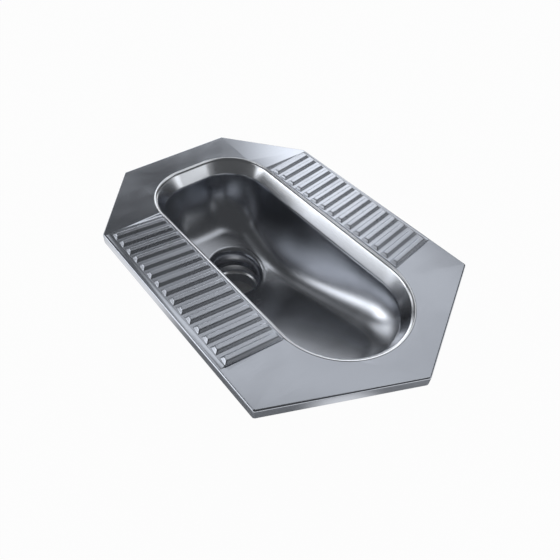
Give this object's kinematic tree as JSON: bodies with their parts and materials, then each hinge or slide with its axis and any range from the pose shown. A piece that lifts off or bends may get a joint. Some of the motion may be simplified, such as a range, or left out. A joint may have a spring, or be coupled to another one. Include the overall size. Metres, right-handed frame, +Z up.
{
  "type": "squat toilet",
  "caption": "Floor-set steel squat pan: seven-sided pressed deck with ribbed foot treads, round-ended opening with a polished flushing rim, deep sloping bowl and a bottom outlet at the rear.",
  "frame": {"origin": "on the pan's centre line, halfway along the deck, at the finished floor that the skirt's foot stands on", "axes": "+Z up, +Y towards the outlet and flush inlet at the rear, -Y towards the pointed front, +X to the right"},
  "size_m": [0.47, 0.6864, 0.272],
  "materials": {
    "deck_steel": "satin pressed stainless sheet",
    "polished_steel": "polished stainless",
    "bowl_steel": "bright drawn stainless",
    "mill_steel": "plain mill finish",
    "bolt_steel": "plain turned stainless",
    "seal_rubber": "moulded black rubber",
    "damping_sheet": "matt bitumen sheet"
  },
  "bodies": {
    "root": {"deck_plate": "deck_steel", "rim_band": "polished_steel", "rim_channel": "mill_steel", "wash_strip": "mill_steel", "flush_baffle": "mill_steel", "inlet_box": "mill_steel", "inlet_spigot": "mill_steel", "bowl_shell": "bowl_steel", "outlet_collar": "mill_steel", "outlet_spigot": "mill_steel", "outlet_ledge": "polished_steel", "outlet_seal": "seal_rubber", "left_stiffener": "mill_steel", "right_stiffener": "mill_steel", "front_stiffener": "mill_steel", "rear_stiffener": "mill_steel", "front_left_lug": "mill_steel", "front_right_lug": "mill_steel", "rear_left_lug": "mill_steel", "rear_right_lug": "mill_steel", "earth_tag": "mill_steel", "earth_bolt": "bolt_steel", "earth_washers": "bolt_steel", "earth_nut": "bolt_steel", "front_left_pad": "damping_sheet", "front_right_pad": "damping_sheet", "rear_left_pad": "damping_sheet", "rear_right_pad": "damping_sheet"}
  },
  "joints": []
}
